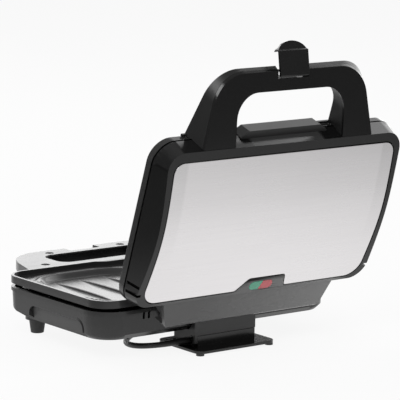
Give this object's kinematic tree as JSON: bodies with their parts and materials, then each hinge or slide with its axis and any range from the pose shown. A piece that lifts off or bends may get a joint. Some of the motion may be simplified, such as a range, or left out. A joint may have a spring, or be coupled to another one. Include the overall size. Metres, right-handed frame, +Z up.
{
  "type": "sandwich maker",
  "caption": "Open sandwich maker with a brushed steel lid panel, loop handles, a folding latch, ribbed heating plates and a rear stand.",
  "frame": {"origin": "on the table, under the middle of the open machine's bounding box", "axes": "+Z up, +Y to the hinge side, -Y to the user and the handles, +X to the left end as the rear is seen; the hinge axis runs along X"},
  "size_m": [0.29, 0.3516, 0.3141],
  "materials": {
    "black_plastic": "satin moulded",
    "coated_aluminium": "dark non-stick coating",
    "heater_steel": "heat darkened tube",
    "bright_sheet": "mill finish",
    "black_screw": "black oxide",
    "zinc_screw": "zinc plated",
    "black_rubber": "matt",
    "cord_rubber": "smooth sheath",
    "plug_plastic": "moulded",
    "ivory_plastic": "moulded",
    "brass_part": "nickel brass",
    "panel_steel": "fine brushed across the panel",
    "green_lens": "clear coloured",
    "red_lens": "clear coloured",
    "lamp_glass": "clear"
  },
  "bodies": {
    "base": {"base_housing": "black_plastic", "lower_plate": "coated_aluminium", "lower_element": "heater_steel", "lower_reflector": "bright_sheet", "base_handle": "black_plastic", "base_handle_cover": "black_plastic", "base_handle_screws": "black_screw", "base_screws": "zinc_screw", "front_feet": "black_rubber", "rear_stand": "black_plastic", "stand_plate": "black_plastic", "stand_screws": "zinc_screw", "rear_pads": "black_rubber", "thermostat": "bright_sheet", "thermal_fuse": "brass_part", "terminal_block": "ivory_plastic", "strain_relief": "cord_rubber", "power_cord": "cord_rubber", "cord_coil": "cord_rubber", "plug": "plug_plastic", "plug_pins": "brass_part"},
    "lid": {"lid_housing": "black_plastic", "steel_panel": "panel_steel", "hinge_cover": "black_plastic", "hinge_pins": "zinc_screw", "upper_plate": "coated_aluminium", "upper_element": "heater_steel", "upper_reflector": "bright_sheet", "lid_handle": "black_plastic", "lid_handle_cover": "black_plastic", "lid_handle_screws": "zinc_screw", "lid_screws": "zinc_screw", "green_lens": "green_lens", "red_lens": "red_lens", "indicator_lamps": "lamp_glass", "latch_pin": "zinc_screw"},
    "latch": {"latch": "black_plastic"}
  },
  "joints": [
    {"name": "lid_hinge", "type": "hinge", "parent": "base", "child": "lid", "pos_m": [0, 0.08422, 0.055], "axis": [1, 0, 0], "range_deg": [0, 108.6]},
    {"name": "latch_hinge", "type": "hinge", "parent": "lid", "child": "latch", "pos_m": [0, 0.16893, 0.28288], "axis": [1, 0, 0], "range_deg": [0, 57]}
  ]
}
